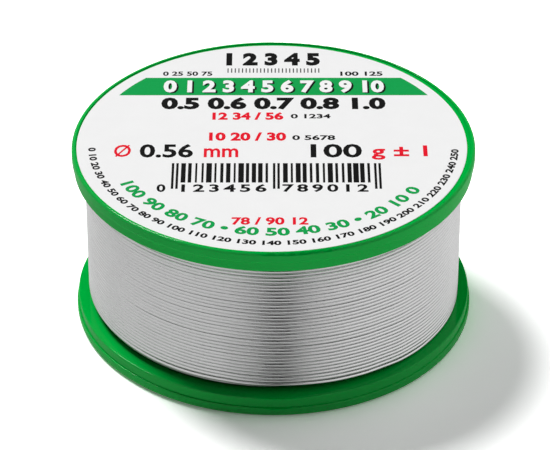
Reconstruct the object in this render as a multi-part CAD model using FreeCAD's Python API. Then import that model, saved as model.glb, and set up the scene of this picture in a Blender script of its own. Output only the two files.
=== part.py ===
import FreeCAD, Part
import math
import os

from FreeCAD import Vector

# A spool of flux-cored solder wire. Lengths are in millimetres and angles in degrees.
# The spool's axis is Z, it stands on its lower flange at z = 0, and its front faces -Y.

# Flanges, whose rims step in at the parting line, half way up
flange_margin = 1.85
spool_height = 28.55
flange_thickness = 3.15
rim_step = 0.25
rim_step_height = 1.6
rim_step_fillet = 0.2
foot_edge_fillet = 0.7
winding_edge_fillet = 0.2
lip_width = 0.62
lip_outer_fillet = 0.42
lip_edge_fillet = 0.06
label_recess_depth = 0.2
foot_width = 3.0
foot_height = 0.3

# Hub, which is pressed into both flanges
barrel_diameter = 45.0
barrel_wall = 1.5
seat_depth = 1.5
press_gap = 0.02
bore_diameter = 11.0
bore_tube_wall = 1.5
bore_mouth_chamfer = 0.5
spoke_count = 6
spoke_thickness = 1.2
first_spoke_angle = 30.0

# Label, which is stuck on a little off centre
label_thickness = 0.1
label_edge_gap = 0.38
label_shift_left = 0.25
label_shift_front = 0.2

# Solder wire and how it is wound
wire_diameter = 0.56
flux_diameter = 0.2
flux_gap = 0.01
winding_depth = 5.65
outer_turns = 17
layer_gap = 0.05
winding_side_gap = 0.1
last_turn_height = 0.9
wire_bend_radius = 1.0
winding_end_angle = 90.0
wire_hole_gap = 0.25
tie_end_height = 1.0
start_pocket = 3
start_rise = 0.2
start_reach = 1.0
start_length = 6.5

# Radii and heights that follow from the sizes above
barrel_radius = barrel_diameter / 2
winding_radius = barrel_radius + winding_depth
flange_radius = winding_radius + flange_margin
inner_rim_radius = flange_radius - rim_step
label_recess_radius = flange_radius - lip_width
foot_inner_radius = flange_radius - foot_width
barrel_inner_radius = barrel_radius - barrel_wall
bore_radius = bore_diameter / 2
bore_tube_radius = bore_radius + bore_tube_wall
wire_radius = wire_diameter / 2

label_seat = spool_height - label_recess_depth
lower_inner_face = flange_thickness
upper_inner_face = spool_height - flange_thickness
barrel_bottom = lower_inner_face - seat_depth
barrel_top = upper_inner_face + seat_depth

core_bottom = lower_inner_face + winding_side_gap
core_top = upper_inner_face - winding_side_gap
core_inner_radius = barrel_radius + layer_gap
turn_radius = winding_radius - wire_radius
core_radius = turn_radius - wire_radius - layer_gap
first_turn = core_top - wire_radius
last_turn = lower_inner_face + last_turn_height + wire_radius
turn_pitch = (first_turn - last_turn) / outer_turns

start_angle = first_spoke_angle + (start_pocket + 0.5) * 360 / spoke_count
start_height = core_bottom + wire_radius + wire_hole_gap + start_rise
up = Vector(0, 0, 1)
centre = Vector(0, 0, 0)


def radial(angle):
    """Unit vector that points away from the axis at an angle from +X."""
    turn = math.radians(angle)
    return Vector(math.cos(turn), math.sin(turn), 0)


def rounded_profile(corners):
    """Closed outline in the XZ plane through (radius, height, fillet) corners."""
    points = [Vector(radius, 0, height) for radius, height, _ in corners]
    edges = []
    starts = []
    ends = []
    for index, point in enumerate(points):
        before = (points[index - 1] - point).normalize()
        after = (points[(index + 1) % len(points)] - point).normalize()
        fillet = corners[index][2]
        half_angle = before.getAngle(after) / 2
        setback = fillet / math.tan(half_angle)
        starts.append(point + before * setback)
        ends.append(point + after * setback)
        if fillet:
            inward = (before + after).normalize()
            middle = point + inward * (fillet / math.sin(half_angle) - fillet)
            edges.append(Part.Arc(starts[-1], middle, ends[-1]).toShape())
    for index, end in enumerate(ends):
        start = starts[(index + 1) % len(starts)]
        edges.append(Part.LineSegment(end, start).toShape())
    return Part.Wire(Part.__sortEdges__(edges))


def turned(corners):
    """Solid of revolution about Z of a rounded outline."""
    return Part.Face(rounded_profile(corners)).revolve(centre, up, 360)


def ring(inner, outer, bottom, top):
    """Plain ring about Z."""
    return turned([(inner, bottom, 0), (outer, bottom, 0), (outer, top, 0), (inner, top, 0)])


def make_lower_flange():
    """Ring that the barrel stands in, open inside the barrel, with the wire's tie hole."""
    socket_radius = barrel_radius + press_gap
    flange = turned([
        (barrel_inner_radius, foot_height, 0),
        (foot_inner_radius, foot_height, 0),
        (foot_inner_radius, 0, lip_edge_fillet),
        (flange_radius, 0, foot_edge_fillet),
        (flange_radius, rim_step_height, rim_step_fillet),
        (inner_rim_radius, rim_step_height, 0),
        (inner_rim_radius, lower_inner_face, winding_edge_fillet),
        (socket_radius, lower_inner_face, 0),
        (socket_radius, barrel_bottom, 0),
        (barrel_inner_radius, barrel_bottom, 0),
    ])
    wire_end = free_end_path()[-1].EndPoint
    hole = Part.makeCylinder(
        wire_radius + wire_hole_gap,
        flange_thickness + wire_diameter,
        Vector(wire_end.x, wire_end.y, 0),
    )
    return flange.cut(hole)


def make_upper_flange():
    """Disc that closes the hub, with a seat for the label and a hole for the bore tube."""
    socket_radius = barrel_radius + press_gap
    tube_hole_radius = bore_tube_radius + press_gap
    return turned([
        (tube_hole_radius, label_seat, 0),
        (label_recess_radius, label_seat, 0),
        (label_recess_radius, spool_height, lip_edge_fillet),
        (flange_radius, spool_height, lip_outer_fillet),
        (flange_radius, spool_height - rim_step_height, rim_step_fillet),
        (inner_rim_radius, spool_height - rim_step_height, 0),
        (inner_rim_radius, upper_inner_face, winding_edge_fillet),
        (socket_radius, upper_inner_face, 0),
        (socket_radius, barrel_top, 0),
        (tube_hole_radius, barrel_top, 0),
    ])


def make_hub():
    """Barrel and bore tube joined by spokes, with a hole in the barrel for the wire's start."""
    barrel = ring(barrel_inner_radius, barrel_radius, barrel_bottom, barrel_top)
    bore_tube = turned([
        (bore_radius + bore_mouth_chamfer, foot_height, 0),
        (bore_tube_radius, foot_height, 0),
        (bore_tube_radius, label_seat, 0),
        (bore_radius, label_seat, 0),
        (bore_radius, foot_height + bore_mouth_chamfer, 0),
    ])
    spokes = []
    spoke_start = bore_tube_radius - bore_tube_wall / 2
    spoke_end = barrel_inner_radius + barrel_wall / 2
    for number in range(spoke_count):
        spoke = Part.makeBox(
            spoke_end - spoke_start,
            spoke_thickness,
            barrel_top - barrel_bottom,
            Vector(spoke_start, -spoke_thickness / 2, barrel_bottom),
        )
        spoke.rotate(centre, up, first_spoke_angle + number * 360 / spoke_count)
        spokes.append(spoke)
    outward = radial(start_angle)
    hole = Part.makeCylinder(
        wire_radius + wire_hole_gap,
        barrel_wall + 2 * wire_diameter,
        outward * (barrel_inner_radius - wire_diameter) + up * start_height,
        outward,
    )
    return barrel.multiFuse([bore_tube] + spokes).cut(hole).removeSplitter()


def make_label():
    """Paper disc that lies on the upper flange and closes the bore."""
    place = Vector(-label_shift_left, -label_shift_front, label_seat)
    return Part.makeCylinder(label_recess_radius - label_edge_gap, label_thickness, place)


def arc_between(start, direction, end):
    """Arc that leaves start along direction and ends at end."""
    chord = end - start
    angle = direction.getAngle(chord)
    control = start + direction * (chord.Length / 2 / math.cos(angle))
    weight = math.cos(angle)
    middle = (start + end + control * (2 * weight)) * (1 / (2 + 2 * weight))
    return Part.Arc(start, middle, end)


def backwards(arc):
    """The same arc, walked from its end to its start."""
    middle = arc.value((arc.FirstParameter + arc.LastParameter) / 2)
    return Part.Arc(arc.EndPoint, middle, arc.StartPoint)


def biarc(start, start_direction, end, end_direction):
    """Two arcs that join smoothly and meet both directions."""
    gap = end - start
    total = start_direction + end_direction
    along = gap.dot(total)
    spread = 2 * (1 - start_direction.dot(end_direction))
    reach = (math.sqrt(along * along + spread * gap.dot(gap)) - along) / spread
    joint = (start + start_direction * reach + end - end_direction * reach) * 0.5
    first = arc_between(start, start_direction, joint)
    second = arc_between(end, end_direction * -1, joint)
    return [first, backwards(second)]


def corner(point, direction, new_direction, radius):
    """Arc from point that turns from one direction to another, and where it ends."""
    angle = direction.getAngle(new_direction)
    setback = radius * math.tan(angle / 2)
    end = point + direction * setback + new_direction * setback
    return arc_between(point, direction, end), end


def turn_point(angle):
    """Point on the outer layer's centre line, angle degrees after its first turn begins."""
    height = first_turn - turn_pitch * angle / 360
    return radial(winding_end_angle + angle) * turn_radius + up * height


def turn_direction(angle):
    """Direction of the wire there."""
    across = radial(winding_end_angle + angle + 90)
    climb = -turn_pitch / (2 * math.pi * turn_radius)
    return (across + up * climb).normalize()


def climb_path():
    """The wire as it comes up out of the layer below, and its last point on the outer layer."""
    top = turn_point(0)
    along = turn_direction(0)
    outward = radial(winding_end_angle)
    bend, inner = corner(top, along * -1, outward * -1, wire_bend_radius)
    root = inner - outward * wire_diameter
    return [Part.LineSegment(root, inner), backwards(bend)]


def free_end_path():
    """The wire's free end, which turns down and runs straight into the tie hole."""
    last_angle = 360 * outer_turns
    start = turn_point(last_angle)
    bend, end = corner(start, turn_direction(last_angle), up * -1, wire_bend_radius)
    return [bend, Part.LineSegment(end, Vector(end.x, end.y, tie_end_height))]


def outer_layer_path():
    """Centre line of the outer layer, from the climb to the tie hole."""
    pieces = climb_path()
    half_turn = 180
    for number in range(2 * outer_turns):
        start = number * half_turn
        end = start + half_turn
        pieces += biarc(turn_point(start), turn_direction(start), turn_point(end), turn_direction(end))
    return pieces + free_end_path()


def swept(pieces, diameter):
    """Round wire along a path."""
    path = Part.Wire([piece.toShape() for piece in pieces])
    first = pieces[0].StartPoint
    heading = pieces[0].EndPoint - first
    circle = Part.Circle(first, heading, diameter / 2)
    section = Part.Wire(circle.toShape())
    tube = path.makePipeShell([section], True, False)
    expected = math.pi * diameter ** 2 / 4 * path.Length
    print("tube of length %.1f holds %.4f of its section times length" % (
        path.Length, tube.Volume / expected))
    return tube


def least_gap(pieces, diameter):
    """Least gap of a wound wire to itself, on points along its centre line."""
    points = []
    walked = 0.0
    step = 2.0
    for piece in pieces:
        edge = piece.toShape()
        count = max(2, int(edge.Length / step) + 1)
        spacing = edge.Length / (count - 1)
        for number, point in enumerate(edge.discretize(count)):
            points.append((walked + number * spacing, (point.x, point.y, point.z)))
        walked += edge.Length
    nearest = math.inf
    apart = 4 * diameter
    reach = 1.5 * 2 * math.pi * turn_radius
    for index, (place, point) in enumerate(points):
        for other_place, other in points[index + 1:]:
            if other_place - place > reach:
                break
            if other_place - place > apart:
                nearest = min(nearest, math.dist(point, other))
    return nearest - diameter


def make_outer_layer():
    """The layer of solder that shows, one wire from the climb to the tie hole."""
    pieces = outer_layer_path()
    print("outer layer: %d turns, least gap to itself %.2f mm" % (
        outer_turns, least_gap(pieces, wire_diameter)))
    return swept(pieces, wire_diameter)


def make_inner_layers():
    """The solder under the outer layer, with the notch that the wire climbs out of."""
    core = ring(core_inner_radius, core_radius, core_bottom, core_top)
    line, bend = climb_path()
    outward = radial(winding_end_angle)
    across = radial(winding_end_angle + 90)
    clearance = wire_radius + layer_gap
    notch_floor = line.StartPoint.z - clearance
    notch_side = line.StartPoint.dot(across) - clearance
    notch_start = line.StartPoint.dot(outward) - layer_gap
    notch = Part.makeBox(
        core_radius + wire_diameter - notch_start,
        bend.EndPoint.dot(across) + wire_bend_radius - notch_side,
        core_top + wire_diameter - notch_floor,
        Vector(notch_start, notch_side, notch_floor),
    )
    notch.rotate(centre, up, winding_end_angle)
    return core.cut(notch)


def start_path():
    """The wire's start, through the barrel and bent along the wall inside the hub."""
    outward = radial(start_angle)
    across = radial(start_angle + 90)
    begin = outward * barrel_radius + up * start_height
    inside = outward * (barrel_inner_radius - start_reach) + up * start_height
    bend, end = corner(inside, outward * -1, across, wire_bend_radius)
    return [Part.LineSegment(begin, inside), bend, Part.LineSegment(end, end + across * start_length)]


def make_start_tail():
    """The start of the wire, with the hollow that its flux fills."""
    pieces = start_path()
    return swept(pieces, wire_diameter).cut(swept(pieces, flux_diameter + 2 * flux_gap))


def make_flux_core():
    """The flux inside the start of the wire."""
    return swept(start_path(), flux_diameter)


def main():
    makers = {
        "lower_flange": make_lower_flange,
        "upper_flange": make_upper_flange,
        "hub": make_hub,
        "top_label": make_label,
        "solder_inner_layers": make_inner_layers,
        "solder_outer_layer": make_outer_layer,
        "solder_start_tail": make_start_tail,
        "flux_core": make_flux_core,
    }
    os.makedirs("parts", exist_ok=True)
    for node, make in makers.items():
        shape = make()
        solids = shape.Solids
        print("%s: %d solid, valid %s, %.1f cubic millimetres" % (
            node, len(solids), shape.isValid(), shape.Volume))
        result = solids[0] if len(solids) == 1 else Part.makeCompound(solids)
        result.exportStep(os.path.join("parts", node + ".step"))


main()
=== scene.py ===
import math

import bmesh
import bpy
import numpy as np
from mathutils import Matrix, Vector


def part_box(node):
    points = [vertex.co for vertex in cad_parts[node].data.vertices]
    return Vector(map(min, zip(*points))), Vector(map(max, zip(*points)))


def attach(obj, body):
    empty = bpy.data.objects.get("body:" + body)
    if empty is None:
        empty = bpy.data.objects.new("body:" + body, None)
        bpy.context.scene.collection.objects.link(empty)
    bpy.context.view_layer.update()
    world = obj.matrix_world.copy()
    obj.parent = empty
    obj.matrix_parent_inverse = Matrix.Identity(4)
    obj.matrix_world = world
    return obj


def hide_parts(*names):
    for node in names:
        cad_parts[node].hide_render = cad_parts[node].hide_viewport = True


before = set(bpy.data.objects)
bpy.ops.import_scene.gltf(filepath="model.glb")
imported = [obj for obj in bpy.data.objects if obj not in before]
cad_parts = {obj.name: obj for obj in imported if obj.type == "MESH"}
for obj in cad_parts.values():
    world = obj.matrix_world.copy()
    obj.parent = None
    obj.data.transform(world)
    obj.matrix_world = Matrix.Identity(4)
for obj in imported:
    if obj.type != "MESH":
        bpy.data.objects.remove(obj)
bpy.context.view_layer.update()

# A spool of solder wire: a moulded green spool, a paper label and one long wire wound on it.
# Lengths are in millimetres and angles in degrees unless a name says otherwise. Azimuths run from +X
# towards +Y, so the front is at -90.
MM = 0.001
scene = bpy.context.scene


def extent(node):
    """Radius, underside and top of a CAD node."""
    low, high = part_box(node)
    return high.x / MM, low.z / MM, high.z / MM


# Sizes that the CAD nodes give
_, _, lower_inner_face = extent("lower_flange")
barrel_radius, _, _ = extent("hub")
_, label_seat, label_top = extent("top_label")
winding_radius, tie_end_height, winding_top = extent("solder_outer_layer")
_, core_bottom, core_top = extent("solder_inner_layers")
_, tail_low, tail_high = extent("solder_start_tail")

label_low, label_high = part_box("top_label")
label_centre = (label_low + label_high) / 2 / MM
label_radius = (label_high - label_low).x / 2 / MM

# The wire. The lines that its die leaves are drawn coarser than real ones, so that they show.
wire = tail_high - tail_low
draw_line_width = 0.06
draw_line_length = 3.0
bend_angles = np.radians(np.linspace(0, 90, 11))

# Outer layer of turns, and its free end in the tie hole
turn_radius = winding_radius - wire / 2
first_turn = winding_top - wire / 2
last_turn_lift = 0.9
last_turn = lower_inner_face + last_turn_lift + wire / 2
outer_turns = 36
points_per_outer_turn = 170
outer_sides = 14
tie_azimuth = 90.0
tie_bend = 1.0
climb_reach = 12.0
climb_step = 2.0
# How the turns wander: the most that one wave moves them, and each wave's (radians a turn, phase)
wander = 0.012
wander_waves = [(2.33, 0.0), (5.71, 1.0), (9.17, 2.0)]
# The last turn lies this much lower than an even winding would, all round: (azimuth, drop)
sag_stations = [
    (-270, 0.0), (-200, 0.02), (-143, 0.05), (-106, 0.06), (-98, 0.18), (-90, 0.22), (-68, 0.38),
    (-58, 0.5), (-46, 0.84), (-36, 0.97), (-18, 1.04), (10, 1.0), (45, 0.75), (75, 0.2), (90, 0.0),
]
# Places where two turns stand apart: (turn, azimuth, half width, extra gap)
open_gaps = [
    (35, -122, 16, 0.1),
    (35, -68, 12, 0.09),
    (34, -62, 10, 0.07),
    (35, -44, 8, 0.09),
    (22, -128, 18, 0.05),
    (18, -58, 14, 0.05),
    (19, -118, 16, 0.04),
    (26, -112, 14, 0.05),
    (7, -62, 16, 0.05),
    (3, -50, 14, 0.05),
    (9, 150, 30, 0.05),
    (24, 40, 30, 0.05),
]
# Turns below an open gap that share it out until none of it is left
gap_settles = 5

# Layers below the outer one
layer_step = 0.9 * wire
under_turns = 37
points_per_under_turn = 90
under_sides = 8
rib_pitch = 0.584
rib_shares = (0.0, 0.2, 0.5, 0.8)
core_gap = 0.05

# The start of the wire, through the barrel and along the wall inside the hub
start_azimuth = 240.0
start_sides = 16
barrel_wall = 1.5
barrel_inner_radius = barrel_radius - barrel_wall
start_reach = 1.0
start_bend = 1.0
start_run = 6.5
start_run_shares = (0.25, 0.5, 0.75, 1.0)

# The label's rounded edge, and its print, with X to the right and Y away from the reader
label_edge = 0.02
ink_height = 0.012
ink_sunk_share = 0.25
band_low, band_high, band_radius = 13.7, 18.9, 27.2
band_end_points = 9
band_shadow = (0.3, -0.25)
# Straight lines of print: (what it says, left, right, foot, head, stroke weight, letter spacing)
band_line = ("0 1 2 3 4 5 6 7 8 9 10", -16.8, 16.9, 14.4, 18.2, 0.045, 1.0)
black_lines = [
    ("0.5 0.6 0.7 0.8 1.0", -17.0, 17.0, 9.5, 13.1, 0.05, 1.0),
    ("0.56", -19.8, -11.9, -4.2, -0.4, 0.028, 1.0),
    ("100", 5.5, 13.1, -4.2, -0.4, 0.024, 1.0),
    ("1 2 3 4 5", -7.3, 7.2, 22.6, 26.5, 0.06, 1.0),
    ("0 25 50 75", -17.0, -9.4, 19.5, 20.8, 0.03, 1.0),
    ("100 125", 10.3, 16.8, 19.5, 20.8, 0.03, 1.0),
    ("0 1234", 2.6, 8.6, 6.9, 8.2, 0.03, 1.0),
    ("0 5678", 2.8, 9.2, 0.7, 2.1, 0.03, 1.0),
    ("0", -17.0, -15.7, -13.6, -11.5, 0.03, 1.0),
    ("123456", -13.4, -1.0, -13.6, -11.5, 0.03, 1.35),
    ("789012", 1.3, 13.8, -13.6, -11.5, 0.03, 1.35),
]
red_lines = [
    ("12 34 / 56", -9.2, 1.5, 6.5, 8.7, 0.045, 1.0),
    ("10 20 / 30", -9.6, 1.9, 0.5, 2.9, 0.045, 1.0),
    ("Ø", -23.6, -21.1, -4.0, -0.6, 0.012, 1.0),
    ("mm", -10.3, -5.2, -4.1, -1.6, 0.02, 1.0),
    ("g ± 1", 14.5, 22.8, -4.8, -0.8, 0.025, 1.0),
    ("78 / 90 12", -6.0, 5.0, -22.3, -20.3, 0.035, 1.0),
]
# Curved lines of print: (what it says, first azimuth, last azimuth, foot's radius, height, stroke weight)
green_arc = ("100 90 80 70 • 60 50 40 30 • 20 10 0", -153, -31, 25.2, 2.2, 0.04)
rim_arc = (" ".join(str(number) for number in range(0, 260, 10)), -177, -4, 27.55, 1.2, 0.04)
# Rows of upright marks: (name, count, first mark, step, least and most width, length, seed)
bar_middle, bar_length, bar_step, bar_widths = -8.4, 5.3, 0.94, (0.26, 0.84)
guard_length, guard_step, guard_widths = 7.0, 14.85, (0.36, 0.36)
guard_middle = bar_middle + (bar_length - guard_length) / 2
mark_rows = [
    ("label_bars_left", 14, (-13.2, bar_middle), bar_step, bar_widths, bar_length, 7),
    ("label_bars_right", 14, (1.75, bar_middle), bar_step, bar_widths, bar_length, 12),
    ("label_bars_guard", 3, (-14.75, guard_middle), guard_step, guard_widths, guard_length, 1),
    ("label_bars_guard_pair", 3, (-14.1, guard_middle), guard_step, guard_widths, guard_length, 1),
    ("label_ruler", 26, (-7.0, 21.1), 0.56, (0.16, 0.16), 1.3, 1),
]

# Studio
floor_radius, floor_top, floor_bottom = 4000, -0.02, -2.0


def srgb(code):
    """Linear RGBA of an sRGB hex colour."""
    parts = [int(code[place:place + 2], 16) / 255 for place in (1, 3, 5)]
    linear = [part / 12.92 if part <= 0.04045 else ((part + 0.055) / 1.055) ** 2.4 for part in parts]
    return (*linear, 1.0)


def add_node(tree, kind, sockets=None, **settings):
    """Adds a node with its settings, and fills each socket with a value or with what feeds it."""
    node = tree.nodes.new(kind)
    for name, value in settings.items():
        setattr(node, name, value)
    for name, value in (sockets or {}).items():
        if isinstance(value, bpy.types.NodeSocket):
            tree.links.new(value, node.inputs[name])
        else:
            node.inputs[name].default_value = value
    return node


def new_material(name):
    """An empty node material and its tree."""
    material = bpy.data.materials.new(name)
    material.use_nodes = True
    material.node_tree.nodes.clear()
    return material, material.node_tree


def surface(tree, shader):
    """Connects a shader node to the material's output."""
    add_node(tree, "ShaderNodeOutputMaterial", {"Surface": shader.outputs[0]})


def around_axis(tree, place, across, along_turn):
    """Coordinates for marks that run round the spool: a size across them, and long along the turn."""
    split = add_node(tree, "ShaderNodeSeparateXYZ", {0: place})
    flat = add_node(tree, "ShaderNodeVectorMath", {
        0: place, 1: (1, 1, 0)}, operation="MULTIPLY").outputs[0]
    along = add_node(tree, "ShaderNodeVectorMath", {0: flat}, operation="NORMALIZE").outputs[0]
    along = add_node(tree, "ShaderNodeVectorMath", {
        0: along, "Scale": along_turn}, operation="SCALE").outputs[0]
    radius = add_node(tree, "ShaderNodeVectorMath", {0: flat}, operation="LENGTH").outputs["Value"]
    step = add_node(tree, "ShaderNodeMath", {
        0: radius, 1: split.outputs["Z"]}, operation="SUBTRACT").outputs[0]
    step = add_node(tree, "ShaderNodeMath", {
        0: step, 1: 1 / (across * MM)}, operation="MULTIPLY").outputs[0]
    lift = add_node(tree, "ShaderNodeCombineXYZ", {2: step}).outputs[0]
    return add_node(tree, "ShaderNodeVectorMath", {0: along, 1: lift}, operation="ADD").outputs[0]


def mottled(tree, place, size, dark, light):
    """Colour that drifts between two values in patches of one size."""
    noise = add_node(tree, "ShaderNodeTexNoise", {
        "Vector": place, "Scale": 1 / (size * MM), "Detail": 3.0})
    mix = add_node(tree, "ShaderNodeMix", {
        "Factor": noise.outputs[0], "A": srgb(dark), "B": srgb(light)}, data_type="RGBA")
    return mix.outputs["Result"]


def polystyrene():
    """High-impact polystyrene, injection moulded in a polished turned mould: evenly coloured under a
    thin gloss, with faint tool rings and a little orange peel that only soften its highlights. The
    rings are drawn further apart than real ones, so that they show."""
    ring_spacing, ring_depth = 0.35, 0.01
    peel_size, peel_depth = 1.6, 0.03
    material, tree = new_material("green_polystyrene_moulded")
    place = add_node(tree, "ShaderNodeTexCoord").outputs["Object"]
    ring_place = around_axis(tree, place, across=ring_spacing, along_turn=2.0)
    rings = add_node(tree, "ShaderNodeTexNoise", {"Vector": ring_place, "Scale": 1.0, "Detail": 2.0})
    peel = add_node(tree, "ShaderNodeTexNoise", {
        "Vector": place, "Scale": 1 / (peel_size * MM), "Detail": 1.0})
    marks = add_node(tree, "ShaderNodeBump", {
        "Height": rings.outputs[0], "Strength": 0.25, "Distance": ring_depth * MM})
    relief = add_node(tree, "ShaderNodeBump", {
        "Height": peel.outputs[0], "Strength": 0.3, "Distance": peel_depth * MM,
        "Normal": marks.outputs[0]})
    gloss = add_node(tree, "ShaderNodeMapRange", {
        "Value": rings.outputs[0], "From Min": 0.3, "From Max": 0.7, "To Min": 0.08, "To Max": 0.13})
    shader = add_node(tree, "ShaderNodeBsdfPrincipled", {
        "Base Color": mottled(tree, place, size=9.0, dark="#00B040", light="#00B646"),
        "Roughness": gloss.outputs[0],
        "IOR": 1.5,
        "Specular IOR Level": 0.0,
        "Coat Weight": 0.22,
        "Coat Roughness": 0.08,
        "Coat IOR": 1.5,
        "Normal": relief.outputs[0],
    })
    surface(tree, shader)
    return material


def coated_paper():
    """Coated label paper: even white with a faint felt of fibres under a thin satin coating. The felt is
    drawn coarser than real fibres, so that it shows."""
    fibre_size, fibre_depth = 0.25, 0.004
    material, tree = new_material("label_paper_coated")
    place = add_node(tree, "ShaderNodeTexCoord").outputs["Object"]
    fibres = add_node(tree, "ShaderNodeTexNoise", {
        "Vector": place, "Scale": 1 / (fibre_size * MM), "Detail": 4.0})
    felt = add_node(tree, "ShaderNodeBump", {
        "Height": fibres.outputs[0], "Strength": 0.15, "Distance": fibre_depth * MM})
    shader = add_node(tree, "ShaderNodeBsdfPrincipled", {
        "Base Color": mottled(tree, place, size=3.0, dark="#F4F4F4", light="#F8F8F8"),
        "Roughness": 0.5,
        "Specular IOR Level": 0.1,
        "Normal": felt.outputs[0],
    })
    surface(tree, shader)
    return material


def printed_ink(name, thin, full):
    """Offset ink on coated paper: nearly flat colour, a trace thinner where the screen shows."""
    material, tree = new_material(name)
    place = add_node(tree, "ShaderNodeTexCoord").outputs["Object"]
    shader = add_node(tree, "ShaderNodeBsdfPrincipled", {
        "Base Color": mottled(tree, place, size=0.4, dark=thin, light=full),
        "Roughness": 0.45,
        "Specular IOR Level": 0.05,
    })
    surface(tree, shader)
    return material


def drawn_solder():
    """Tin alloy wire drawn through a die: satin metal with fine draw lines along its length. Its colour
    is lighter between the turns, painted light in the creases there, and darker and mottled on each
    turn's crest, which dims its highlight; the layers below are darker still, as painted shade."""
    # Painted light and shade: a light colour between the turns, a dimmer mottled one on the crests, and
    # painted shade for the layers below.
    bright, crest_dimmed_dark, crest_dimmed_light, deep_painted_shade = "#ECECEC", "#A6A6A6", "#B0B0B0", "#8C8C8C"
    deep_radius = turn_radius - 0.4 * wire
    shown_radius = turn_radius - 0.3 * wire
    line_depth = 0.01
    material, tree = new_material("solder_wire_drawn")
    line_place = add_node(tree, "ShaderNodeAttribute", attribute_name="draw_line").outputs["Vector"]
    lines = add_node(tree, "ShaderNodeTexNoise", {"Vector": line_place, "Scale": 1.0, "Detail": 3.0})
    place = add_node(tree, "ShaderNodeTexCoord").outputs["Object"]
    relief = add_node(tree, "ShaderNodeBump", {
        "Height": lines.outputs[0], "Strength": 0.3, "Distance": line_depth * MM})
    satin = add_node(tree, "ShaderNodeMapRange", {
        "Value": lines.outputs[0], "From Min": 0.3, "From Max": 0.7, "To Min": 0.26, "To Max": 0.34})
    flat = add_node(tree, "ShaderNodeVectorMath", {
        0: place, 1: (1, 1, 0)}, operation="MULTIPLY").outputs[0]
    reach = add_node(tree, "ShaderNodeVectorMath", {0: flat}, operation="LENGTH").outputs["Value"]
    # Share of the dimmer crest colour, none between the turns and all on the crest: painted light in the
    # creases, a dimmed highlight on top.
    crest_dimming = add_node(tree, "ShaderNodeMapRange", {
        "Value": reach, "From Min": turn_radius * MM, "From Max": winding_radius * MM}).outputs[0]
    crest_dimmed_colour = mottled(tree, place, size=4.0, dark=crest_dimmed_dark, light=crest_dimmed_light)
    colour = add_node(tree, "ShaderNodeMix", {
        "Factor": crest_dimming, "A": srgb(bright), "B": crest_dimmed_colour}, data_type="RGBA").outputs["Result"]
    # Darker grey below the outer turns' grooves: painted shade on the layers below.
    outer = add_node(tree, "ShaderNodeMapRange", {
        "Value": reach, "From Min": deep_radius * MM, "From Max": shown_radius * MM}).outputs[0]
    colour = add_node(tree, "ShaderNodeMix", {
        "Factor": outer, "A": srgb(deep_painted_shade), "B": colour}, data_type="RGBA").outputs["Result"]
    shader = add_node(tree, "ShaderNodeBsdfPrincipled", {
        "Base Color": colour,
        "Metallic": 1.0,
        "Roughness": satin.outputs[0],
        "Normal": relief.outputs[0],
    })
    surface(tree, shader)
    return material


def rosin():
    """Rosin flux set inside the wire: hard, brittle, amber and glassy where it is cut."""
    material, tree = new_material("rosin_flux_cast")
    place = add_node(tree, "ShaderNodeTexCoord").outputs["Object"]
    shader = add_node(tree, "ShaderNodeBsdfPrincipled", {
        "Base Color": mottled(tree, place, size=0.15, dark="#B07A1E", light="#D9A23A"),
        "Roughness": 0.15,
        "IOR": 1.54,
        "Subsurface Weight": 0.3,
        "Subsurface Scale": 0.2 * MM,
    })
    surface(tree, shader)
    return material


def dress(node, material):
    """Gives a CAD node its material."""
    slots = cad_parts[node].data.materials
    slots.clear()
    slots.append(material)


def new_object(name, data, material=None):
    """Links an object at the origin, where a piece stays, because its mesh holds its place."""
    piece = bpy.data.objects.new(name, data)
    scene.collection.objects.link(piece)
    if material:
        data.materials.clear()
        data.materials.append(material)
    return piece


def on_spool(piece, replaced=()):
    """Says what carries a piece, and hides the CAD nodes that it stands for."""
    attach(piece, "root")
    if replaced:
        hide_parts(*replaced)
    return piece


def turned(name, outline, segments, material, sharp_over=35):
    """Closed shape turned about the spool's axis from an outline of (radius, height), smooth apart
    from edges sharper than an angle."""
    vertices = []
    rings = []
    for radius, height in outline:
        count = segments if radius > 0 else 1
        rings.append([len(vertices) + step for step in range(count)])
        for step in range(count):
            angle = 2 * math.pi * step / segments
            vertices.append((radius * MM * math.cos(angle), radius * MM * math.sin(angle), height * MM))
    faces = []
    pairs = list(zip(rings, rings[1:]))
    if outline[0][0] > 0:
        pairs.append((rings[-1], rings[0]))
    for first, second in pairs:
        for step in range(segments):
            following = (step + 1) % segments
            corners = [
                first[step % len(first)],
                first[following % len(first)],
                second[following % len(second)],
                second[step % len(second)],
            ]
            faces.append(list(dict.fromkeys(corners)))
    mesh = bpy.data.meshes.new(name)
    mesh.from_pydata(vertices, [], faces)
    shape = bmesh.new()
    shape.from_mesh(mesh)
    bmesh.ops.recalc_face_normals(shape, faces=shape.faces)
    shape.to_mesh(mesh)
    shape.free()
    for face in mesh.polygons:
        face.use_smooth = True
    mesh.set_sharp_from_angle(angle=math.radians(sharp_over))
    return new_object(name, mesh, material)


def open_tree(name, inputs):
    """A Geometry Nodes tree with named inputs, and the sockets that they arrive at."""
    tree = bpy.data.node_groups.new(name, "GeometryNodeTree")
    tree.interface.new_socket("Geometry", in_out="OUTPUT", socket_type="NodeSocketGeometry")
    for title, kind in inputs.items():
        tree.interface.new_socket(title, in_out="INPUT", socket_type="NodeSocket" + kind)
    return tree, add_node(tree, "NodeGroupInput").outputs


def close_tree(tree, geometry, material):
    """Ends a tree: instances made real, and a material."""
    real = add_node(tree, "GeometryNodeRealizeInstances", {0: geometry}).outputs[0]
    dressed = add_node(tree, "GeometryNodeSetMaterial", {
        "Geometry": real, "Material": material}).outputs[0]
    add_node(tree, "NodeGroupOutput", {0: dressed})


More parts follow.
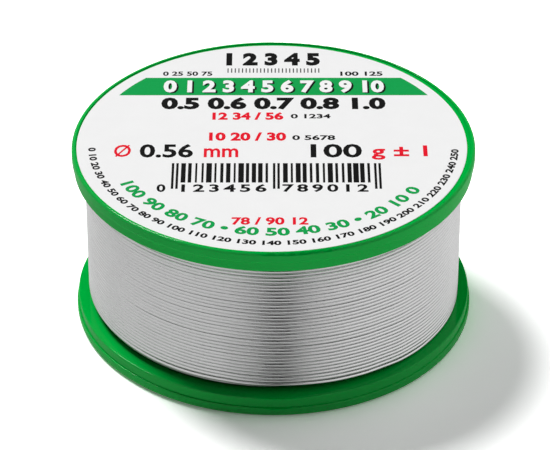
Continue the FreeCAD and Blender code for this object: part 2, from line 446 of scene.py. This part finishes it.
def grown(name, tree, base, values):
    """Runs a tree on a base curve or mesh and returns the result as a plain mesh object."""
    source = new_object(name + "_source", base)
    modifier = source.modifiers.new("grow", "NODES")
    modifier.node_group = tree
    for item in tree.interface.items_tree:
        if item.in_out == "INPUT" and item.name in values:
            modifier[item.identifier] = values[item.name]
    depsgraph = bpy.context.evaluated_depsgraph_get()
    mesh = bpy.data.meshes.new_from_object(
        source.evaluated_get(depsgraph), preserve_all_data_layers=True, depsgraph=depsgraph)
    source.modifiers.remove(modifier)
    bpy.data.objects.remove(source)
    mesh.name = name
    return new_object(name, mesh)


def wound_wire_tree():
    """Round wire along a curve, with coordinates for the lines that the drawing die leaves."""
    tree, given = open_tree("wound_wire", {
        "Path": "Geometry", "Wire Diameter": "Float", "Sides": "Int", "Line Width": "Float",
        "Line Length": "Float", "Wire Material": "Material"})
    length = add_node(tree, "GeometryNodeSplineParameter").outputs["Length"]
    along = add_node(tree, "ShaderNodeMath", {
        0: length, 1: given["Line Length"]}, operation="DIVIDE").outputs[0]
    path = add_node(tree, "GeometryNodeStoreNamedAttribute", {
        "Geometry": given["Path"], "Name": "along", "Value": along},
        data_type="FLOAT", domain="POINT").outputs[0]
    radius = add_node(tree, "ShaderNodeMath", {
        0: given["Wire Diameter"], 1: 0.5}, operation="MULTIPLY").outputs[0]
    circle = add_node(tree, "GeometryNodeCurvePrimitiveCircle", {
        "Resolution": given["Sides"], "Radius": radius}).outputs[0]
    place = add_node(tree, "GeometryNodeInputPosition").outputs[0]
    scale = add_node(tree, "ShaderNodeMath", {
        0: 1.0, 1: given["Line Width"]}, operation="DIVIDE").outputs[0]
    section = add_node(tree, "ShaderNodeVectorMath", {
        0: place, "Scale": scale}, operation="SCALE").outputs[0]
    profile = add_node(tree, "GeometryNodeStoreNamedAttribute", {
        "Geometry": circle, "Name": "section", "Value": section},
        data_type="FLOAT_VECTOR", domain="POINT").outputs[0]
    tube = add_node(tree, "GeometryNodeCurveToMesh", {
        "Curve": path, "Profile Curve": profile, "Fill Caps": True}).outputs[0]
    along = add_node(tree, "GeometryNodeInputNamedAttribute", {
        "Name": "along"}, data_type="FLOAT").outputs[0]
    section = add_node(tree, "GeometryNodeInputNamedAttribute", {
        "Name": "section"}, data_type="FLOAT_VECTOR").outputs[0]
    lift = add_node(tree, "ShaderNodeCombineXYZ", {2: along}).outputs[0]
    line = add_node(tree, "ShaderNodeVectorMath", {0: section, 1: lift}, operation="ADD").outputs[0]
    tube = add_node(tree, "GeometryNodeStoreNamedAttribute", {
        "Geometry": tube, "Name": "draw_line", "Value": line},
        data_type="FLOAT_VECTOR", domain="POINT").outputs[0]
    for spent in ("along", "section"):
        tube = add_node(tree, "GeometryNodeRemoveAttribute", {
            "Geometry": tube, "Name": spent}).outputs[0]
    tube = add_node(tree, "GeometryNodeSetShadeSmooth", {"Geometry": tube}).outputs[0]
    close_tree(tree, tube, given["Wire Material"])
    return tree


def marks_tree():
    """A row of upright printed marks, each as wide as a random draw between two widths."""
    tree, given = open_tree("printed_marks", {
        "Base": "Geometry", "Count": "Int", "Start": "Vector", "Step": "Vector", "Least Width": "Float",
        "Most Width": "Float", "Length": "Float", "Thickness": "Float", "Seed": "Int", "Ink": "Material"})
    row = add_node(tree, "GeometryNodeMeshLine", {
        "Count": given["Count"], "Start Location": given["Start"], "Offset": given["Step"]}).outputs[0]
    mark = add_node(tree, "GeometryNodeMeshCube", {"Size": (1, 1, 1)}).outputs["Mesh"]
    width = add_node(tree, "FunctionNodeRandomValue", {
        "Min": given["Least Width"], "Max": given["Most Width"], "Seed": given["Seed"]},
        data_type="FLOAT").outputs["Value"]
    size = add_node(tree, "ShaderNodeCombineXYZ", {
        0: width, 1: given["Length"], 2: given["Thickness"]}).outputs[0]
    marks = add_node(tree, "GeometryNodeInstanceOnPoints", {
        "Points": row, "Instance": mark, "Scale": size}).outputs[0]
    close_tree(tree, marks, given["Ink"])
    return tree


def round_spool(azimuth, radius, height):
    """Points round the spool's axis."""
    angle = np.radians(azimuth)
    return np.stack([radius * np.cos(angle), radius * np.sin(angle), height + 0 * angle], axis=-1)


def heading(azimuth):
    """Level direction of length 1 at an azimuth."""
    return round_spool(np.array([azimuth]), 1.0, 0.0)[0]


def eased(value):
    """Smooth step from 0 to 1."""
    value = np.clip(value, 0, 1)
    return value * value * (3 - 2 * value)


def sag(azimuth):
    """How far the last turn has slipped down at an azimuth from -270 to 90."""
    stations = np.array(sag_stations, float)
    place = np.clip(np.searchsorted(stations[:, 0], azimuth, side="right") - 1, 0, len(stations) - 2)
    start, end = stations[place], stations[place + 1]
    share = (azimuth - start[..., 0]) / (end[..., 0] - start[..., 0])
    return start[..., 1] + (end[..., 1] - start[..., 1]) * eased(share)


def turn_heights(done):
    """Heights of the outer layer after a number of turns, which lie a hair apart. The sag grows from
    turn to turn, and an open gap pushes down the turns below it."""
    azimuth = (done % 1.0) * 360 + tie_azimuth - 360
    pitch = (first_turn - last_turn) / outer_turns
    heights = first_turn - pitch * done - sag(azimuth) * done / outer_turns
    for turn, gap_azimuth, half_width, extra in open_gaps:
        for lap in range(gap_settles + 1):
            centre = turn + lap + (gap_azimuth - tie_azimuth) % 360 / 360
            spread = (done - centre) * 360 / half_width
            heights -= extra * (1 - lap / gap_settles) * np.exp(-spread ** 2)
    drift = sum(np.sin(done * rate + phase) for rate, phase in wander_waves)
    fade = np.minimum(1, np.minimum(done, outer_turns - done))
    return heights - wander * drift * fade


def bent_run(start, onward, aside, radius):
    """Points on a bend of the wire, which sets out onward and ends aside."""
    return [start + radius * (onward * math.sin(turn) + aside * (1 - math.cos(turn)))
            for turn in bend_angles]


def curve_through(points):
    """A poly curve through points in millimetres."""
    curve = bpy.data.curves.new("path", "CURVE")
    curve.dimensions = "3D"
    spline = curve.splines.new("POLY")
    spline.points.add(len(points) - 1)
    flat = np.ones((len(points), 4))
    flat[:, :3] = np.asarray(points) * MM
    spline.points.foreach_set("co", flat.ravel())
    return curve


def wire_along(name, tree, points, sides, material, replaced=()):
    """One stretch of the wire along points in millimetres."""
    piece = grown(name, tree, curve_through(points), {
        "Wire Diameter": wire * MM,
        "Sides": sides,
        "Line Width": draw_line_width * MM,
        "Line Length": draw_line_length * MM,
        "Wire Material": material,
    })
    return on_spool(piece, replaced)


def outer_winding(tree, material):
    """The layer that shows: one unbroken wire that climbs out of the layer below at the top of the
    back, winds down the spool and ends in the tie hole of the lower flange."""
    climb = np.arange(-climb_reach, 0, climb_step)
    rise = eased((climb + climb_reach) / climb_reach)
    done = np.arange(outer_turns * points_per_outer_turn + 1) / points_per_outer_turn
    last_point = round_spool(np.array([tie_azimuth]), turn_radius, last_turn)[0]
    bend = bent_run(last_point, heading(tie_azimuth + 90), np.array([0, 0, -1]), tie_bend)
    end = np.array([bend[-1][0], bend[-1][1], tie_end_height])
    points = [
        *round_spool(tie_azimuth + climb, turn_radius - layer_step * (1 - rise), first_turn),
        *round_spool(tie_azimuth + done * 360, turn_radius, turn_heights(done)),
        *bend[1:],
        (bend[-1] + end) / 2,
        end,
    ]
    return wire_along("outer_winding", tree, points, outer_sides, material, ["solder_outer_layer"])


def under_layer(tree, material):
    """The layer below, wound the other way; it shows in the gaps and under the last turn."""
    bottom = core_bottom + wire / 2
    done = np.arange(under_turns * points_per_under_turn + 1) / points_per_under_turn
    heights = bottom + (first_turn - bottom) * done / under_turns
    end_azimuth = tie_azimuth - climb_reach
    points = round_spool(end_azimuth + (done - under_turns) * 360, turn_radius - layer_step, heights)
    return wire_along("under_winding", tree, points, under_sides, material)


def deep_layers(material):
    """The layers that never show, as one turned body with the wire's ribs on its outside."""
    groove_radius = turn_radius - 2 * layer_step - wire / 2
    ribs = int((core_top - core_bottom) / rib_pitch)
    outline = [(barrel_radius + core_gap, core_top), (barrel_radius + core_gap, core_bottom)]
    for rib in range(ribs):
        low = core_bottom + (core_top - core_bottom) * rib / ribs
        for share in rib_shares:
            swell = math.sin(math.pi * share) * wire / 2
            outline.append((groove_radius + swell, low + rib_pitch * share))
    outline.append((groove_radius, core_top))
    piece = turned("deep_windings", outline, segments=96, material=material)
    return on_spool(piece, ["solder_inner_layers"])


def wire_start(tree, material):
    """The start of the wire, through the barrel and bent along the wall inside the hub."""
    outward = heading(start_azimuth)
    across = heading(start_azimuth + 90)
    level = np.array([0, 0, (tail_low + tail_high) / 2])
    corner = outward * (barrel_inner_radius - start_reach) + level
    bend = bent_run(corner, -outward, across, start_bend)
    points = [
        outward * barrel_radius + level,
        outward * (barrel_inner_radius - start_reach / 2) + level,
        *bend,
        *(bend[-1] + across * start_run * share for share in start_run_shares),
    ]
    return wire_along("wire_start", tree, points, start_sides, material, ["solder_start_tail"])


def paper_label(material):
    """Round die-cut label, a hair rounded at its cut edge, glued to the upper flange."""
    outline = [
        (0, label_seat),
        (label_radius - label_edge, label_seat),
        (label_radius, label_seat + label_edge),
        (label_radius, label_top - label_edge),
        (label_radius - label_edge, label_top),
        (label_radius / 2, label_top),
        (0, label_top),
    ]
    piece = turned("paper_label", outline, segments=256, material=material)
    piece.data.transform(Matrix.Translation((label_centre.x * MM, label_centre.y * MM, 0)))
    return on_spool(piece, ["top_label"])


def numerals(body, left, right, low, high, weight, spacing=1.0):
    """Solid numerals that fill a rectangle, one ink thick, as vertices and faces."""
    curve = bpy.data.curves.new("numerals", "FONT")
    curve.body = body
    curve.offset = weight
    curve.space_character = spacing
    curve.resolution_u = 3
    curve.extrude = 0.5
    text = new_object("numerals", curve)
    bpy.context.view_layer.update()
    mesh = bpy.data.meshes.new_from_object(text.evaluated_get(bpy.context.evaluated_depsgraph_get()))
    bpy.data.objects.remove(text)
    shape = bmesh.new()
    shape.from_mesh(mesh)
    bmesh.ops.remove_doubles(shape, verts=shape.verts, dist=1e-5)
    shape.to_mesh(mesh)
    shape.free()
    spots = np.array([vertex.co for vertex in mesh.vertices])
    faces = [list(face.vertices) for face in mesh.polygons]
    bpy.data.meshes.remove(mesh)
    least, most = spots.min(0), spots.max(0)
    spots = (spots - least) / (most - least)
    return spots * np.array([right - left, high - low, 1]) + np.array([left, low, 0]), faces


def arc_numerals(body, first_azimuth, last_azimuth, radius, height, weight):
    """Numerals from one azimuth to another, wrapped round a circle with their tops towards its centre."""
    left = math.radians(first_azimuth + 90) * radius
    right = math.radians(last_azimuth + 90) * radius
    spots, faces = numerals(body, left, right, 0, height, weight)
    angle = spots[:, 0] / radius - math.pi / 2
    reach = radius - spots[:, 1]
    return np.stack([reach * np.cos(angle), reach * np.sin(angle), spots[:, 2]], axis=1), faces


def shifted(marks, right, back):
    """Marks moved on the label."""
    spots, faces = marks
    return spots + np.array([right, back, 0]), faces


def band():
    """The band across the label, one ink thick, its ends on a circle inside the label's edge."""
    corners = []
    for side in (1, -1):
        heights = np.linspace(band_low, band_high, band_end_points)[::side]
        corners += [(side * math.sqrt(band_radius ** 2 - height ** 2), height) for height in heights]
    count = len(corners)
    spots = [(x, y, level) for level in (0, 1) for x, y in corners]
    faces = [list(range(count))[::-1], [count + place for place in range(count)]]
    for place in range(count):
        following = (place + 1) % count
        faces.append([place, following, count + following, count + place])
    return np.array(spots, float), faces


def print_on_label(name, layers, material):
    """Joins marks into one piece of print; a layer is how many inks lie under each of its marks."""
    spots, faces = [], []
    for layer, marks in layers:
        placed, loops = marks
        placed = placed.copy()
        placed[:, 2] = label_top + ink_height * (layer + placed[:, 2] - ink_sunk_share)
        start = sum(len(part) for part in spots)
        spots.append(placed * MM)
        faces += [[start + corner for corner in loop] for loop in loops]
    mesh = bpy.data.meshes.new(name)
    mesh.from_pydata(np.concatenate(spots).tolist(), [], faces)
    mesh.update()
    return on_spool(new_object(name, mesh, material))


def label_print(inks):
    """Plain numbers and scales, in the colours and sizes that a spool's label has."""
    band_text = numerals(*band_line)
    print_on_label("label_print_green", [(0, band()), (0, arc_numerals(*green_arc))], inks["green"])
    print_on_label("label_print_white", [(2, band_text)], inks["white"])
    print_on_label("label_print_black", [
        (1, shifted(band_text, *band_shadow)),
        *((0, numerals(*line)) for line in black_lines),
        (0, arc_numerals(*rim_arc)),
    ], inks["black"])
    print_on_label("label_print_red", [(0, numerals(*line)) for line in red_lines], inks["red"])


def label_bars(tree, ink):
    """A generic row of bars with three longer pairs, and a ruler, all made by one tree of marks."""
    base = bpy.data.meshes.new("base")
    middle = label_top + ink_height * (0.5 - ink_sunk_share)
    for name, count, start, step, widths, length, seed in mark_rows:
        piece = grown(name, tree, base, {
            "Count": count,
            "Start": [start[0] * MM, start[1] * MM, middle * MM],
            "Step": [step * MM, 0.0, 0.0],
            "Least Width": widths[0] * MM,
            "Most Width": widths[1] * MM,
            "Length": length * MM,
            "Thickness": ink_height * MM,
            "Seed": seed,
            "Ink": ink,
        })
        on_spool(piece)


def white_floor():
    """A white floor that keeps the spool's shadow. The camera sees it overexposed, as it sees the
    backdrop of a studio, and mirrors see it about white. Matte surfaces get only what a plain white
    floor gives them."""
    exposure, shadow_lift = 1.55, 0.1
    mirror_colour, mirror_lift = 0.68, 0.5
    material, tree = new_material("studio_floor_white")
    rays = add_node(tree, "ShaderNodeLightPath").outputs
    mirror = add_node(tree, "ShaderNodeMath", {
        0: rays["Is Glossy Ray"], 1: rays["Is Transmission Ray"]}, operation="MAXIMUM").outputs[0]
    level = add_node(tree, "ShaderNodeMapRange", {
        "Value": mirror, "To Min": 1.0, "To Max": mirror_colour}).outputs[0]
    level = add_node(tree, "ShaderNodeMapRange", {
        "Value": rays["Is Camera Ray"], "To Min": level, "To Max": exposure}).outputs[0]
    matte = add_node(tree, "ShaderNodeBsdfDiffuse", {"Color": level})
    lift = add_node(tree, "ShaderNodeMath", {0: mirror, 1: mirror_lift}, operation="MULTIPLY").outputs[0]
    lift = add_node(tree, "ShaderNodeMath", {
        0: rays["Is Camera Ray"], 1: shadow_lift, 2: lift}, operation="MULTIPLY_ADD").outputs[0]
    glow = add_node(tree, "ShaderNodeEmission", {"Color": srgb("#FFFFFF"), "Strength": lift})
    surface(tree, add_node(tree, "ShaderNodeAddShader", {0: matte.outputs[0], 1: glow.outputs[0]}))
    outline = [(0, floor_top), (floor_radius, floor_top), (floor_radius, floor_bottom), (0, floor_bottom)]
    turned("studio_floor", outline, segments=64, material=material)


def softbox_sky():
    """Two wide softboxes as a world. Mirrors see them at both sides and behind, a little brighter on
    the right and in front. The dark gap between them, over the camera, is the dark band down the
    bright wire. Matte surfaces get a share of that light, with less from the front and more from the
    right. The camera sees plain white."""
    gap_centre, gap_edges, gap_depth = 0.06, (0.1, 0.21), 0.97
    shade_edges, shade_depth = (0.08, 0.6), 0.33
    gap_ends, front_ends = (0.8, 1.0), (-0.1, 0.35)
    right_gain, front_gain = 0.18, 0.17
    soft_share, soft_front_loss, soft_right_gain = 0.5, 0.68, 1.1
    world = bpy.data.worlds.new("studio")
    scene.world = world
    world.use_nodes = True
    tree = world.node_tree
    tree.nodes.clear()

    view = add_node(tree, "ShaderNodeTexCoord").outputs["Generated"]
    toward = add_node(tree, "ShaderNodeSeparateXYZ", {0: view}).outputs
    aside = add_node(tree, "ShaderNodeMath", {
        0: toward["X"], 1: gap_centre}, operation="SUBTRACT").outputs[0]
    aside = add_node(tree, "ShaderNodeMath", {0: aside}, operation="ABSOLUTE").outputs[0]
    fades = {}
    for title, value, edges, most in (
        ("gap", aside, gap_edges, gap_depth),
        ("shade", aside, shade_edges, shade_depth),
        ("gap end", toward["Y"], gap_ends, 1.0),
        ("front", toward["Y"], front_ends, 1.0),
    ):
        fades[title] = add_node(tree, "ShaderNodeMapRange", {
            "Value": value, "From Min": edges[0], "From Max": edges[1], "To Min": most, "To Max": 0.0},
            interpolation_type="SMOOTHSTEP").outputs[0]
    dark = add_node(tree, "ShaderNodeMath", {
        0: fades["gap"], 1: fades["shade"]}, operation="ADD").outputs[0]
    dark = add_node(tree, "ShaderNodeMath", {
        0: dark, 1: fades["gap end"]}, operation="MULTIPLY").outputs[0]
    lit = add_node(tree, "ShaderNodeMath", {0: 1.0, 1: dark}, operation="SUBTRACT").outputs[0]
    lit = add_node(tree, "ShaderNodeMath", {
        0: toward["X"], 1: right_gain, 2: lit}, operation="MULTIPLY_ADD").outputs[0]
    fore = add_node(tree, "ShaderNodeMath", {
        0: fades["front"], 1: front_gain, 2: 1.0}, operation="MULTIPLY_ADD").outputs[0]
    mirrored = add_node(tree, "ShaderNodeMath", {0: lit, 1: fore}, operation="MULTIPLY").outputs[0]
    kept = add_node(tree, "ShaderNodeMath", {
        0: fades["front"], 1: -soft_front_loss, 2: 1.0}, operation="MULTIPLY_ADD").outputs[0]
    side = add_node(tree, "ShaderNodeMath", {
        0: toward["X"], 1: soft_right_gain, 2: 1.0}, operation="MULTIPLY_ADD").outputs[0]
    soft = mirrored
    for factor in (kept, soft_share, side):
        soft = add_node(tree, "ShaderNodeMath", {0: soft, 1: factor}, operation="MULTIPLY").outputs[0]

    rays = add_node(tree, "ShaderNodeLightPath").outputs
    mirror = add_node(tree, "ShaderNodeMath", {
        0: rays["Is Glossy Ray"], 1: rays["Is Transmission Ray"]}, operation="MAXIMUM").outputs[0]
    level = add_node(tree, "ShaderNodeMix", {
        "Factor": mirror, "A": soft, "B": mirrored}, data_type="FLOAT").outputs["Result"]
    shown = add_node(tree, "ShaderNodeMix", {
        "Factor": rays["Is Camera Ray"], "A": level, "B": 1.0}, data_type="FLOAT").outputs["Result"]
    background = add_node(tree, "ShaderNodeBackground", {"Color": srgb("#FFFFFF"), "Strength": shown})
    add_node(tree, "ShaderNodeOutputWorld", {"Surface": background.outputs[0]})


def key_light():
    """A high softbox behind the spool's left side, as a sun as wide as the softbox looks."""
    strength, width = 2.78, 20.0
    around, above = math.radians(130.3), math.radians(55.5)
    lamp = bpy.data.lights.new("key_softbox", "SUN")
    lamp.energy = strength
    lamp.angle = math.radians(width)
    light = new_object("key_softbox", lamp)
    level = math.cos(above)
    toward = Vector((level * math.cos(around), level * math.sin(around), math.sin(above)))
    light.rotation_euler = toward.to_track_quat("Z", "Y").to_euler()


def camera():
    """The photograph's camera, a long lens about half a metre away, in front and above."""
    place = Vector((0.0, -398.2, 275.0)) * MM
    aim = Vector((0.23, 0.0, 13.8)) * MM
    lens = bpy.data.cameras.new("camera")
    lens.lens = 206.15
    lens.sensor_width = 36.0
    lens.clip_start = 0.01
    lens.clip_end = 20.0
    view = new_object("camera", lens)
    view.location = place
    view.rotation_euler = (place - aim).to_track_quat("Z", "Y").to_euler()
    scene.camera = view


scene.view_settings.view_transform = "Standard"
camera()
key_light()
white_floor()
softbox_sky()

plastic = polystyrene()
solder = drawn_solder()
inks = {
    "black": printed_ink("label_ink_black", "#050505", "#000000"),
    "green": printed_ink("label_ink_green", "#0AA652", "#029E48"),
    "red": printed_ink("label_ink_red", "#F01830", "#E60C26"),
    "white": printed_ink("label_ink_white", "#F6F6F6", "#FDFDFD"),
}

for node in ("lower_flange", "upper_flange", "hub"):
    dress(node, plastic)
dress("flux_core", rosin())

wound_wire = wound_wire_tree()
outer_winding(wound_wire, solder)
under_layer(wound_wire, solder)
deep_layers(solder)
wire_start(wound_wire, solder)
paper_label(coated_paper())
label_print(inks)
label_bars(marks_tree(), inks["black"])
